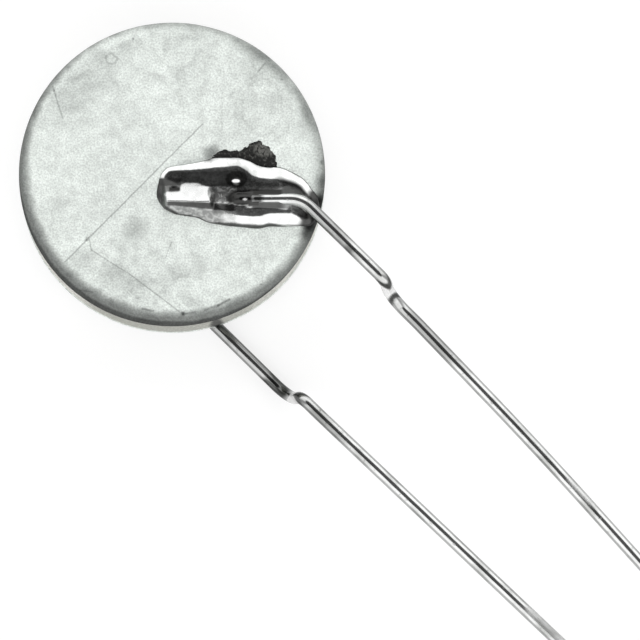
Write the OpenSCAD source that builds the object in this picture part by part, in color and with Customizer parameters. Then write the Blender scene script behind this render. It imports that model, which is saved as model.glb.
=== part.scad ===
// Disc thermistor without a coating: a ceramic disc, a silver electrode on each face, and a tinned wire
// soldered to each electrode. It lies front face up on its rear lead, with both leads along +X.

/* [Ceramic disc] */
// Diameter of the bare ceramic disc
disc_d = 12.4; // [11:0.1:18]
// Thickness of the bare ceramic disc
disc_t = 2.8; // [2:0.1:4]
// Radius that rounds the disc's two rims
rim_r = 0.7; // [0.6:0.05:0.9]
// Width of the rounded band, which ends at the disc's straight wall
rim_w = 0.5; // [0.3:0.05:0.55]

/* [Electrodes] */
// Thickness of the silver film on each face
film_t = 0.04; // [0.02:0.01:0.08]

/* [Leads] */
// Diameter of the tinned wire
wire_d = 0.5; // [0.4:0.05:0.6]
// Distance between the two leads where they cross the rim
spread = 5.9; // [5:0.1:6.5]
// Distance from the disc's axis to the leads' cut ends
reach = 33; // [31:1:45]
// Angle between the leg on the disc's face and the lead
leg_angle = 45; // [35:1:55]
// Straight length of the leg on the disc's face
leg_l = 4.6; // [4:0.1:5]
// Centre line radius of the bend between the leg and the lead
leg_bend_r = 1.2; // [0.9:0.1:1.6]
// How far inside the rim that bend ends
bend_inset = 0.6; // [0.4:0.1:1]

/* [Kinks] */
// Straight run from the rim to the kink
kink_run = 3.4; // [2:0.1:6]
// Steepness of the kink, in degrees
kink_angle = 75; // [60:1:83]
// Centre line radius of the kinks' tight bends, as a share of the kink's drop
tight_bend = 0.32; // [0.28:0.01:0.36]
// Centre line radius of the front kink's wide bend, which is its lower one, as a share of the kink's drop
front_wide_bend = 0.73; // [0.5:0.01:0.75]
// Centre line radius of the rear kink's wide bend, which is the one nearer the disc, as a share of the kink's drop
rear_wide_bend = 0.6; // [0.5:0.01:0.75]
// How far the front lead's kink brings it towards the rear lead
front_shift = 0.16; // [0:0.04:0.48]
// How far the rear lead's kink brings it towards the front lead
rear_shift = 0.25; // [0:0.01:0.5]

/* [Set of the leads] */
// Inward turn of the front lead past its kink, in degrees
front_toe = 1.75; // [0:0.25:2.5]
// Inward bow of the front lead, in degrees
front_bow = 1.8; // [0:0.3:2.4]
// Inward turn of the rear lead past its kink, in degrees
rear_toe = 1; // [0:0.25:2]
// Inward bow of the rear lead, in degrees
rear_bow = 0; // [0:0.3:2.4]
// Straight run from the toe to where a bow starts
bow_start = 3.8; // [2:0.2:6]
// Length of lead over which a bow is spread
bow_run = 6; // [4:0.5:10]

/* [Solder] */
// Thickness of the solder under the wire
solder_bed = 0.03; // [0.02:0.01:0.06]
// Thickness of the solder over the buried end of the wire
solder_cover = 0.05; // [0.04:0.01:0.1]
// Height of the solder beside the wire
solder_h = 0.3; // [0.24:0.02:0.4]
// Height that the bead of solder beside the wire adds
bead_h = 0.2; // [0.1:0.02:0.3]

/* [Flux residue] */
// Thickness of the crust of burnt flux
flux_t = 0.06; // [0.04:0.01:0.1]

/* [Hidden] */
$fn = 48;

// The disc with its films
disc_r = disc_d / 2;
flat_r = disc_r - rim_w;
rim_z = disc_t / 2 - rim_r;
wall_half = rim_z + sqrt(rim_r * rim_r - rim_w * rim_w);
coated_r = disc_r + film_t;
face_z = disc_t / 2 + film_t;

// The wire's place on the face, and where it crosses the rim
wire_z = face_z + solder_bed + wire_d / 2;
lead_y = spread / 2;
rim_x = sqrt(disc_r * disc_r - lead_y * lead_y);
corner_l = leg_bend_r * tan(leg_angle / 2);
corner = [rim_x - bend_inset - corner_l, lead_y];

// The run past the kink: a toe-in, then a long bow
toe_start = 0.4;
toe_r = 12;

// A bend is drawn this much thicker than the wire, and each straight run ends this far inside its bends
bend_swell = 0.003;
bend_bite = 0.015;

// Side to which a bend turns the wire, as an angle about it: 0 is down towards the disc's middle plane
INWARD = -90;

// Outline of the solder: distance from its tip along the leg, then how far it reaches to each side of the wire
tip_past_corner = 5.8;
solder_rows = [
    [0, 0.45, 0.15], [0.12, 0.85, -0.1], [0.35, 1.2, -0.4], [0.75, 1.3, -0.6], [1.2, 1.4, -0.7],
    [1.8, 1.45, -0.85], [2.4, 1.5, -1.05], [3, 1.6, -1.15], [3.6, 1.5, -1.25], [4.2, 1.3, -1.3],
    [4.8, 1.15, -1.25], [5.4, 0.95, -1.2], [6, 0.75, -1.2], [7.2, 0.5, -1.5]
];
row_steps = 2;
cross_steps = 16;
edge_dip = 0.05;
tip_rise = 0.55;
ridge_w = 0.35;
ridge_top = solder_bed + wire_d + solder_cover;
ridge_start = 0.1;
ridge_full = 0.6;
ridge_fade = 3.9;
ridge_gone = 4.6;
bead_at = [3.2, 0.7];
bead_w = 0.35;
rim_taper_l = 0.9;
rim_cover = 0.1;
rim_margin = 0.08;

// Outline of the flux crust, in the same lengths along and beside the leg
flux_outline = [
    [1.9, 1.3], [2, 1.62], [2.25, 1.9], [2.6, 2], [3, 1.92], [3.4, 2.04], [3.7, 1.95], [4, 2.2], [4.4, 2.12],
    [4.7, 1.88], [4.85, 1.55], [4.9, 1.25], [4.4, 1], [3.6, 1.2], [2.6, 1.2]
];

// The whole part: its lowest point is the solder over the rear wire, and its frame is centred on its box
rest_z = face_z + ridge_top;
centre_x = (reach - coated_r) / 2;

function smooth(from, to, x) =
    let (t = min(1, max(0, (x - from) / (to - from))))
    t * t * (3 - 2 * t);

// Point t of a curve through the rows, where a whole number is a row
function row_at(rows, t) =
    let (
        last = len(rows) - 1,
        i = min(floor(t), last - 1),
        f = t - i,
        p0 = rows[max(i - 1, 0)],
        p1 = rows[i],
        p2 = rows[i + 1],
        p3 = rows[min(i + 2, last)]
    )
    (2 * p1 + (p2 - p0) * f + (2 * p0 - 5 * p1 + 4 * p2 - p3) * f * f
        + (3 * p1 - p0 - 3 * p2 + p3) * f * f * f) / 2;

// Distance from the disc's axis of a point given along and beside the leg
function from_axis(u, v) =
    let (along = u - tip_past_corner)
    norm([
        corner[0] + along * cos(leg_angle) - v * sin(leg_angle),
        corner[1] + along * sin(leg_angle) + v * cos(leg_angle)
    ]);

// Height of the solder's top over the face, where s runs from -1 to 1 across its width
function solder_top(u, v, s) =
    let (
        tip = u < tip_rise ? sqrt(1 - pow(1 - u / tip_rise, 2)) : 1,
        edge = sqrt(1 - pow(s, 4)),
        rim = 1 - (1 - rim_cover / solder_h) * smooth(flat_r - rim_taper_l, flat_r, from_axis(u, v)),
        buried = smooth(ridge_start, ridge_full, u) * (1 - smooth(ridge_fade, ridge_gone, u)),
        ridge = (ridge_top - solder_h) * buried * exp(-pow(v / ridge_w, 2)),
        bead = bead_h * exp(-pow(norm([u, v] - bead_at) / bead_w, 2))
    )
    (solder_h + ridge + bead + edge_dip) * tip * edge * rim - edge_dip;

// Radius at which a length of wire turns through an angle, and the length that a turn at a radius takes
function arc_r(length, turn) = turn > 0 ? length * 180 / (PI * turn) : 0;
function arc_l(radius, turn) = radius * turn * PI / 180;

// The wire on the face, as far as the kink: length, side, turn and bend radius of each step
function root_steps() = [
    [leg_l, INWARD, leg_angle, leg_bend_r],
    [bend_inset + kink_run, 0, 0, 0]
];

// The whole lead in such steps. Its kink brings it down to the disc's middle plane and towards the other lead
function lead_steps(shift, first_bend, second_bend, toe, bow) =
    let (
        drop = norm([wire_z, shift]),
        aslant = -atan(shift / wire_z),
        bends = drop * (first_bend + second_bend),
        kink_leg = (drop - bends * (1 - cos(kink_angle))) / sin(kink_angle),
        kink_l = bends * sin(kink_angle) + kink_leg * cos(kink_angle),
        toe_end = toe_start + arc_l(toe_r, toe),
        bow_end = bow_start + (bow > 0 ? bow_run : 0)
    )
    [
        [leg_l, INWARD, leg_angle, leg_bend_r],
        [bend_inset + kink_run, aslant, kink_angle, drop * first_bend],
        [kink_leg, 180 + aslant, kink_angle, drop * second_bend],
        [toe_start, INWARD, toe, toe_r],
        [bow_start, INWARD, bow, arc_r(bow_run, bow)],
        [reach - rim_x - kink_run - kink_l - toe_end - bow_end, 0, 0, 0]
    ];

// Quarter section of the disc with rounded rims, grown outwards by a film
module disc_section(grow) {
    translate([0, -disc_t / 2 - grow]) square([flat_r, disc_t + 2 * grow]);
    translate([0, -wall_half]) square([disc_r + grow, 2 * wall_half]);
    intersection() {
        translate([0, -disc_t]) square([disc_r + grow, 2 * disc_t]);
        for (z = [-rim_z, rim_z]) translate([flat_r, z]) circle(r = rim_r + grow);
    }
}

// The silver film on one face, down to where the straight wall starts
module electrode() {
    rotate_extrude() difference() {
        disc_section(film_t);
        disc_section(0);
        translate([0, -disc_t]) square([disc_d, disc_t + wall_half]);
    }
}

// A bend that starts at the origin along +Z and turns towards +X
module elbow(turn, bend_r) {
    translate([bend_r, 0, 0]) rotate([90, 0, 180])
        rotate_extrude(angle = turn) translate([bend_r, 0]) circle(d = wire_d + 2 * bend_swell);
}

// Wire from the origin along +Z: each step is a straight length, then a side, a turn and a radius for its bend
module wire(steps, i = 0) {
    run = steps[i][0];
    side = steps[i][1];
    turn = steps[i][2];
    bend_r = steps[i][3];
    more = i + 1 < len(steps);
    before = i > 0 ? bend_bite : 0;
    after = more ? bend_bite : 0;
    translate([0, 0, -before]) cylinder(d = wire_d, h = before + run + after);
    if (more)
        translate([0, 0, run]) rotate([0, 0, side]) {
            if (turn > 0) elbow(turn, bend_r);
            translate([bend_r, 0, 0]) rotate([0, turn, 0]) translate([-bend_r, 0, 0])
                rotate([0, 0, -side]) wire(steps, i + 1);
        }
}

// A wire that starts at the leg's buried end on the front face
module laid_wire(steps) {
    translate([corner[0], corner[1], wire_z]) rotate([0, 0, leg_angle])
        translate([-leg_l - corner_l, 0, 0]) rotate([0, 90, 0]) wire(steps);
}

// The solder before the disc and the wire are taken out of it, with its foot below the face
module solder_body() {
    stations = (len(solder_rows) - 1) * row_steps;
    foot_z = wall_half;
    ring = cross_steps + 1;
    rows = [for (i = [0:stations]) row_at(solder_rows, i / row_steps)];
    across = [for (j = [0:cross_steps]) -cos(180 * j / cross_steps)];
    top = [
        for (row = rows, s = across)
            let (v = (row[1] + row[2]) / 2 + s * (row[1] - row[2]) / 2)
            [row[0], v, face_z + solder_top(row[0], v, s)]
    ];
    foot = [for (row = rows, v = [row[2], row[1]]) [row[0], v, foot_z]];
    base = len(top);
    end = stations * ring;
    surface = [
        for (i = [0:stations - 1], j = [0:cross_steps - 1])
            let (a = i * ring + j, b = a + ring)
            each [[a, a + 1, b], [a + 1, b + 1, b]]
    ];
    sides = [
        for (i = [0:stations - 1])
            let (a = i * ring, c = base + 2 * i)
            each [
                [a, a + ring, c + 2, c],
                [a + cross_steps, c + 1, c + 3, a + ring + cross_steps],
                [c, c + 2, c + 3, c + 1]
            ]
    ];
    tip_cap = concat([base], [base + 1], [for (j = [0:cross_steps]) cross_steps - j]);
    rim_cap = concat([base + 2 * stations + 1, base + 2 * stations], [for (j = [0:cross_steps]) end + j]);
    translate([corner[0], corner[1], 0]) rotate([0, 0, leg_angle]) translate([-tip_past_corner, 0, 0])
        polyhedron(points = concat(top, foot), faces = concat(surface, sides, [tip_cap, rim_cap]));
}

// The space that the solder may fill: all over the flat face, and a thin cover on the rounded rim
module solder_space() {
    tall = 2 * rest_z;
    cylinder(r = flat_r, h = tall);
    intersection() {
        rotate_extrude() disc_section(film_t + rim_cover);
        cylinder(r = coated_r - rim_margin, h = tall);
    }
}

// The solder on one face, shaped to the film, the rounded rim and the wire
module solder_fillet() {
    difference() {
        intersection() {
            solder_body();
            solder_space();
        }
        rotate_extrude() disc_section(film_t);
        laid_wire(root_steps());
    }
}

// The burnt flux beside the solder
module flux_crust() {
    difference() {
        translate([corner[0], corner[1], face_z]) rotate([0, 0, leg_angle]) translate([-tip_past_corner, 0, 0])
            linear_extrude(flux_t) polygon(flux_outline);
        solder_body();
    }
}

// From the disc's own frame, centred in the ceramic, to the frame of the whole part
module at_rest() {
    translate([-centre_x, 0, rest_z]) children();
}

module rear_side() {
    at_rest() rotate([180, 0, 0]) children();
}

module ceramic_disc() {
    color([0.8, 0.78, 0.7]) at_rest() rotate_extrude() disc_section(0);
}

module front_electrode() {
    color([0.84, 0.86, 0.84]) at_rest() electrode();
}

module rear_electrode() {
    color([0.84, 0.86, 0.84]) rear_side() electrode();
}

module front_solder_fillet() {
    color([0.6, 0.61, 0.6]) at_rest() solder_fillet();
}

module rear_solder_fillet() {
    color([0.6, 0.61, 0.6]) rear_side() solder_fillet();
}

module front_lead() {
    steps = lead_steps(front_shift, tight_bend, front_wide_bend, front_toe, front_bow);
    color([0.72, 0.73, 0.72]) at_rest() laid_wire(steps);
}

module rear_lead() {
    steps = lead_steps(rear_shift, rear_wide_bend, tight_bend, rear_toe, rear_bow);
    color([0.72, 0.73, 0.72]) rear_side() laid_wire(steps);
}

module flux_residue() {
    color([0.12, 0.11, 0.1]) at_rest() flux_crust();
}

ceramic_disc();
front_electrode();
rear_electrode();
front_solder_fillet();
rear_solder_fillet();
front_lead();
rear_lead();
flux_residue();
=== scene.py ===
"""A bare disc thermistor on a pale table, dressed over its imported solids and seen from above."""

import logging
import math
from dataclasses import dataclass, field
from enum import Enum

import bmesh
import bpy
import numpy as np
from mathutils import Matrix, Vector, noise


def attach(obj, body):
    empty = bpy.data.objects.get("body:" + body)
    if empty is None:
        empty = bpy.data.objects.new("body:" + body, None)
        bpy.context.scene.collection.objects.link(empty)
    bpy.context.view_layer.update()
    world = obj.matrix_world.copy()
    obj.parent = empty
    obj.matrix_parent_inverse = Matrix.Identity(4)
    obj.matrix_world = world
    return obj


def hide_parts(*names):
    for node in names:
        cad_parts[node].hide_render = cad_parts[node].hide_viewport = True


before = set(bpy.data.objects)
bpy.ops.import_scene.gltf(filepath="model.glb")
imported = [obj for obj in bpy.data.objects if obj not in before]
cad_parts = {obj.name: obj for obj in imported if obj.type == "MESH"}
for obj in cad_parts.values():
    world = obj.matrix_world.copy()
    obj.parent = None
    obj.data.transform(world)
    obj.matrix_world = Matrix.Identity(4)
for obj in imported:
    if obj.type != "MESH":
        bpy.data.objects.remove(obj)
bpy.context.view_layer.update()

LOG = logging.getLogger("thermistor")
MM = 0.001
TINY = 1e-5

Point2 = tuple[float, float]
Way = tuple[float, float, float]
Colour = tuple[float, float, float]
Hill = tuple[Point2, Point2]
Plot = tuple[Point2, Point2, float]
Layer = tuple[float, float, float]
Socket = bpy.types.NodeSocket
Input = Socket | float | Colour | Way
Inputs = dict[str | int, Input]

FLAT: Way = (1.0, 1.0, 0.0)
GIVE_NUMBERS = ("DOT_PRODUCT", "LENGTH", "DISTANCE")


class Side(Enum):
    """The face of the disc that a piece lies on."""

    FRONT = "front"
    REAR = "rear"


@dataclass(frozen=True)
class Disc:
    """Sizes of the disc in mm, in its own frame, which is centred in the ceramic with its front face up."""

    centre_x: float = -13.38
    middle_z: float = 2.02
    radius: float = 6.2
    half_t: float = 1.4
    rim_r: float = 0.7
    rim_w: float = 0.5
    film_t: float = 0.04

    @property
    def face_z(self) -> float:
        """Height of the film's face over the disc's middle plane."""
        return self.half_t + self.film_t

    @property
    def flat_r(self) -> float:
        """Radius at which the rounded rim starts."""
        return self.radius - self.rim_w

    @property
    def rim_z(self) -> float:
        """Height of the rounding's centre over the disc's middle plane."""
        return self.half_t - self.rim_r

    @property
    def wall_half(self) -> float:
        """Half the height of the disc's straight wall."""
        return self.rim_z + math.sqrt(self.rim_r**2 - self.rim_w**2)

    @property
    def rim_turn(self) -> float:
        """Angle that the film turns through over the rim, in radians."""
        return math.asin((self.rim_w + self.film_t) / (self.rim_r + self.film_t))

    def place(self, side: Side) -> Matrix:
        """Gives the matrix from the frame of one face, in mm, to the world, in metres."""
        turned = Matrix.Rotation(math.pi, 4, "X") if side is Side.REAR else Matrix.Identity(4)
        return Matrix.Scale(MM, 4) @ Matrix.Translation((self.centre_x, 0, self.middle_z)) @ turned


DISC = Disc()


@dataclass(frozen=True)
class Leg:
    """Place of the wire's leg on the face, in mm, with its angle in radians."""

    angle: float = math.radians(45)
    tip_past_corner: float = 5.8
    bend_r: float = 1.2
    spread: float = 5.9
    bend_inset: float = 0.6
    straight: float = 4.6

    @property
    def corner_l(self) -> float:
        """Length from the bend's end to the corner of its centre lines."""
        return self.bend_r * math.tan(self.angle / 2)

    @property
    def rim_x(self) -> float:
        """Where the lead crosses the rim of the ceramic."""
        return math.sqrt(DISC.radius**2 - (self.spread / 2) ** 2)

    @property
    def corner(self) -> Point2:
        """Corner of the centre lines of the leg and the lead."""
        return (self.rim_x - self.bend_inset - self.corner_l, self.spread / 2)


LEG = Leg()
WIRE_LEG = Leg(bend_inset=0.43)


def ease(low: float, high: float, x: np.ndarray) -> np.ndarray:
    """Rises smoothly from 0, where x is low, to 1, where x is high."""
    t = np.clip((x - low) / (high - low), 0, 1)
    return t * t * (3 - 2 * t)


def window(x: np.ndarray, rise: Point2, fall: Point2) -> np.ndarray:
    """Rises smoothly from 0 to 1 over the first span of x, and falls back over the second."""
    return ease(*rise, x) * (1 - ease(*fall, x))


def rounded(outline: list[Point2], steps: int = 6) -> list[Point2]:
    """Draws a smooth closed curve through an outline's corners.

    Args:
        outline: the corners in order.
        steps: pieces of curve from corner to corner.

    Returns:
        The points of the curve.
    """
    corners = np.array(outline)
    before, after, beyond = (np.roll(corners, shift, axis=0) for shift in (1, -1, -2))
    points = []
    for p0, p1, p2, p3 in zip(before, corners, after, beyond):
        for t in np.arange(steps) / steps:
            line = 2 * p1 + (p2 - p0) * t
            bend = (2 * p0 - 5 * p1 + 4 * p2 - p3) * t**2 + (3 * p1 - p0 - 3 * p2 + p3) * t**3
            points.append(tuple((line + bend) / 2))
    return points


@dataclass(frozen=True)
class Places:
    """Places beside the wire's leg in mm: u runs along it from the solder's tip, and v beside it."""

    u: np.ndarray
    v: np.ndarray

    def moved(self, u: np.ndarray, v: np.ndarray | float = 0.0) -> "Places":
        """Gives the places moved by that much."""
        return Places(self.u + u, self.v + v)

    def on_disc(self) -> tuple[np.ndarray, np.ndarray]:
        """Turns the places into the disc's frame.

        Returns:
            The x and the y of each.
        """
        along = self.u - LEG.tip_past_corner
        x = LEG.corner[0] + along * math.cos(LEG.angle) - self.v * math.sin(LEG.angle)
        y = LEG.corner[1] + along * math.sin(LEG.angle) + self.v * math.cos(LEG.angle)
        return x, y

    @property
    def from_axis(self) -> np.ndarray:
        """Distance of each place from the disc's axis."""
        return np.hypot(*self.on_disc())

    def hill(self, at: Point2, size: Point2) -> np.ndarray:
        """Gives a round hill of height 1, with its middle and its spread along u and v."""
        return np.exp(-(((self.u - at[0]) / size[0]) ** 2) - ((self.v - at[1]) / size[1]) ** 2)

    def plot(self, low: Point2, high: Point2, soft: float) -> np.ndarray:
        """Gives a rectangular patch of height 1.

        Args:
            low: its corner with the lowest u and v.
            high: its opposite corner.
            soft: half the width of its soft edges.

        Returns:
            The patch's height at each place.
        """
        across_u = ease(low[0] - soft, low[0] + soft, self.u) - ease(high[0] - soft, high[0] + soft, self.u)
        across_v = ease(low[1] - soft, low[1] + soft, self.v) - ease(high[1] - soft, high[1] + soft, self.v)
        return across_u * across_v

    def rough(self, *layers: Layer) -> np.ndarray:
        """Adds up layers of smooth noise.

        Args:
            layers: each layer's height, its bumps in each mm and the seed that picks its pattern.

        Returns:
            The noise at each place.
        """
        total = np.zeros(len(self.u))
        for height, scale, seed in layers:
            pattern = [noise.noise(Vector((u * scale, v * scale, seed))) for u, v in zip(self.u, self.v)]
            total += height * np.array(pattern)
        return total

    def depth_in(self, outline: list[Point2]) -> np.ndarray:
        """Measures how far each place lies inside a closed outline.

        Args:
            outline: the outline's corners in order.

        Returns:
            Distances to the outline, below 0 outside it.
        """
        corners = np.array(outline)
        places = np.stack([self.u, self.v], axis=1)
        nearest = np.full(len(places), np.inf)
        within = np.zeros(len(places), bool)
        for start, end in zip(corners, np.roll(corners, -1, axis=0)):
            run = end - start
            t = np.clip(((places - start) @ run) / max(float(run @ run), TINY), 0, 1)
            nearest = np.minimum(nearest, np.linalg.norm(places - start - t[:, None] * run, axis=1))
            crosses = (start[1] > self.v) != (end[1] > self.v)
            rise = run[1] if abs(run[1]) > TINY else TINY
            within ^= crosses & (self.u < start[0] + (self.v - start[1]) / rise * run[0])
        return np.where(within, nearest, -nearest)

    def wrap(self, height: np.ndarray) -> np.ndarray:
        """Lays a height over the face, and on over the rounded rim.

        Args:
            height: distance out of the film. Places past the flat face are measured along the rounding.

        Returns:
            One point in the disc's frame for each place.
        """
        x, y = self.on_disc()
        rho = np.hypot(x, y)
        outer = DISC.rim_r + DISC.film_t
        turn = np.clip((rho - DISC.flat_r) / outer, 0, DISC.rim_turn)
        from_axis = np.minimum(rho, DISC.flat_r) + (outer + height) * np.sin(turn)
        z = DISC.rim_z + (outer + height) * np.cos(turn)
        share = from_axis / np.maximum(rho, TINY)
        return np.stack([x * share, y * share, z], axis=1)


def to_piece(bm: bmesh.types.BMesh, name: str, place: Matrix) -> bpy.types.Object:
    """Turns a mesh in mm into a piece of the object.

    Args:
        bm: the mesh, which is freed.
        name: the piece's name.
        place: matrix from the mesh's frame to the world.

    Returns:
        The piece, with smooth faces that look outward.
    """
    bmesh.ops.remove_doubles(bm, verts=bm.verts, dist=TINY)
    bmesh.ops.transform(bm, matrix=place, verts=bm.verts)
    bmesh.ops.recalc_face_normals(bm, faces=bm.faces)
    mesh = bpy.data.meshes.new(name)
    bm.to_mesh(mesh)
    bm.free()
    for polygon in mesh.polygons:
        polygon.use_smooth = True
    piece = bpy.data.objects.new(name, mesh)
    bpy.context.scene.collection.objects.link(piece)
    return piece


def seat(piece: bpy.types.Object, finish: bpy.types.Material, node: str) -> None:
    """Lets a piece stand for a CAD node, with its finish.

    Args:
        piece: the piece.
        finish: its material.
        node: the CAD node that it replaces.
    """
    piece.data.materials.append(finish)
    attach(piece, "root")
    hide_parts(node)
    LOG.info("%s stands for %s: %d faces", piece.name, node, len(piece.data.polygons))


class Nodes:
    """A node tree, with a method for each kind of node that the finishes and the light use."""

    def __init__(self, tree: bpy.types.NodeTree) -> None:
        """Takes a tree and empties it."""
        self.tree = tree
        self.tree.nodes.clear()

    def add(self, kind: str, inputs: Inputs, **settings: str | bool) -> bpy.types.Node:
        """Adds a node.

        Args:
            kind: the node's kind.
            inputs: what to feed it.
            settings: values of the node's own properties.

        Returns:
            The node.
        """
        node = self.tree.nodes.new(kind)
        for name, value in settings.items():
            setattr(node, name, value)
        self.feed(node, inputs)
        return node

    def feed(self, node: bpy.types.Node, inputs: Inputs) -> None:
        """Gives some of a node's inputs their values.

        Args:
            node: the node.
            inputs: another node's output, a number, a vector or a colour for each input's name or number.
        """
        for key, value in inputs.items():
            socket = node.inputs[key]
            if isinstance(value, bpy.types.NodeSocket):
                self.tree.links.new(value, socket)
            elif isinstance(value, tuple) and socket.type == "RGBA":
                socket.default_value = (*value, 1.0)
            else:
                socket.default_value = value

    def math(self, operation: str, a: Input, b: Input = 0.0, clamp: bool = False) -> Socket:
        """Adds a sum of one or two numbers, which can be kept from 0 to 1."""
        return self.add("ShaderNodeMath", {0: a, 1: b}, operation=operation, use_clamp=clamp).outputs[0]

    def plus(self, a: Input, b: Input) -> Socket:
        """Adds two numbers."""
        return self.math("ADD", a, b)

    def less(self, a: Input, b: Input) -> Socket:
        """Takes the second number from the first."""
        return self.math("SUBTRACT", a, b)

    def times(self, a: Input, b: Input) -> Socket:
        """Multiplies two numbers."""
        return self.math("MULTIPLY", a, b)

    def most(self, a: Input, b: Input) -> Socket:
        """Gives the larger of two numbers."""
        return self.math("MAXIMUM", a, b)

    def vector(self, operation: str, a: Input, b: Input = (0.0, 0.0, 0.0)) -> Socket:
        """Adds a sum of vectors.

        Args:
            operation: the Vector Math node's operation.
            a: its first vector.
            b: its second vector, or the factor of a scaling.

        Returns:
            The result, which is a number for a dot product, a length or a distance.
        """
        inputs = {0: a, "Scale" if operation == "SCALE" else 1: b}
        node = self.add("ShaderNodeVectorMath", inputs, operation=operation)
        return node.outputs["Value" if operation in GIVE_NUMBERS else 0]

    def noise(self, at: Socket, scale: float, detail: float = 2.0, twist: float = 0.0,
              give: str = "Fac") -> Socket:
        """Adds noise around 0.5, with that many bumps in each mm, layers of finer noise and a twist."""
        inputs = {"Vector": at, "Scale": scale, "Detail": detail, "Distortion": twist}
        return self.add("ShaderNodeTexNoise", inputs).outputs[give]

    def span(self, value: Socket, low: float, high: float, to: Point2 = (0.0, 1.0)) -> Socket:
        """Maps the range from low to high to another one with soft ends."""
        inputs = {"Value": value, "From Min": low, "From Max": high, "To Min": to[0], "To Max": to[1]}
        return self.add("ShaderNodeMapRange", inputs, interpolation_type="SMOOTHSTEP").outputs[0]

    def mix(self, share: Input, a: Input, b: Input) -> Socket:
        """Mixes two colours, by the share of the second one."""
        return self.add("ShaderNodeMix", {"Factor": share, 6: a, 7: b}, data_type="RGBA").outputs[2]

    def blend(self, share: Input, a: Input, b: Input) -> Socket:
        """Mixes two numbers, by the share of the second one."""
        return self.add("ShaderNodeMix", {"Factor": share, 2: a, 3: b}).outputs[0]

    def ramp(self, value: Socket, stops: list[Point2]) -> Socket:
        """Maps a value from 0 to 1 to a grey level.

        Args:
            value: the value to map.
            stops: values in order, each with its level.

        Returns:
            The grey colour.
        """
        node = self.add("ShaderNodeValToRGB", {0: value})
        elements = node.color_ramp.elements
        while len(elements) < len(stops):
            elements.new(0.5)
        for element, (position, _) in zip(elements, stops):
            element.position = position
        for element, (_, level) in zip(elements, stops):
            element.color = (level, level, level, 1)
        return node.outputs[0]


class MaterialNodes(Nodes):
    """A material's node tree round one shader."""

    def __init__(self, name: str) -> None:
        """Starts the material.

        Args:
            name: the material's name.
        """
        self.material = bpy.data.materials.new(name)
        self.material.use_nodes = True
        super().__init__(self.material.node_tree)
        self.shader = self.add("ShaderNodeBsdfPrincipled", {})
        self.add("ShaderNodeOutputMaterial", {"Surface": self.shader.outputs[0]})

    def set(self, inputs: Inputs) -> None:
        """Gives some of the shader's inputs their values."""
        self.feed(self.shader, inputs)

    def place(self, turn: float = 0.0) -> Socket:
        """Gives each point's place in mm from the disc's middle.

        Args:
            turn: turn of the pattern about the disc's axis, in radians.

        Returns:
            The place as a vector.
        """
        centre = Matrix.Rotation(turn, 3, "Z") @ Vector((DISC.centre_x, 0, DISC.middle_z))
        return self.add("ShaderNodeMapping", {
            "Vector": self.add("ShaderNodeTexCoord", {}).outputs["Object"],
            "Location": tuple(-centre),
            "Rotation": (0.0, 0.0, turn),
            "Scale": (1 / MM,) * 3,
        }).outputs[0]

    def attribute(self, name: str, output: str = "Fac") -> Socket:
        """Reads what the piece carries at its points, as a number or a vector."""
        return self.add("ShaderNodeAttribute", {}, attribute_name=name).outputs[output]

    def bump(self, height: Socket, depth: float, strength: float) -> None:
        """Lets a pattern raise the surface, by a depth in mm and by the share of it that shows."""
        inputs = {"Height": height, "Distance": depth * MM, "Strength": strength}
        self.set({"Normal": self.add("ShaderNodeBump", inputs).outputs[0]})


class MarkKind(Enum):
    """What a mark on the film looks like."""

    STROKE = "stroke"
    SMUDGE = "smudge"
    RING = "ring"


@dataclass(frozen=True)
class Mark:
    """A mark on a film, in mm across and up the photo's view from the disc's middle.

    A stroke, which may be as thin as a scratch, runs from one point to the other. A smudge or a ring has its
    middle first, then its two radii, and its width is a share of them.
    """

    kind: MarkKind
    at: Point2
    to: Point2
    width: float
    depth: float

    def mask(self, nodes: Nodes, place: Socket) -> Socket:
        """Draws the mark.

        Args:
            nodes: the tree to draw it in.
            place: each point's place in the view's frame, in mm.

        Returns:
            The mark's darkness at each point.
        """
        offset = nodes.vector("SUBTRACT", place, (*self.at, 0.0))
        if self.kind is MarkKind.STROKE:
            run = Vector((*self.to, 0.0)) - Vector((*self.at, 0.0))
            along = nodes.vector("DOT_PRODUCT", offset, tuple(run / run.length_squared))
            foot = nodes.vector("SCALE", tuple(run), nodes.math("ADD", along, clamp=True))
            return nodes.span(nodes.vector("DISTANCE", offset, foot), 0.0, self.width, (self.depth, 0.0))
        out = nodes.vector("LENGTH", nodes.vector("MULTIPLY", offset, (1 / self.to[0], 1 / self.to[1], 0.0)))
        if self.kind is MarkKind.RING:
            out = nodes.math("ABSOLUTE", nodes.less(out, 1.0))
        return nodes.span(out, 0.0, self.width, (self.depth, 0.0))


def marks(kind: MarkKind, *rows: tuple[Point2, Point2, float, float]) -> tuple[Mark, ...]:
    """Gives marks of one kind, from the two points, the width and the depth of each."""
    return tuple(Mark(kind, *row) for row in rows)


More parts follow.
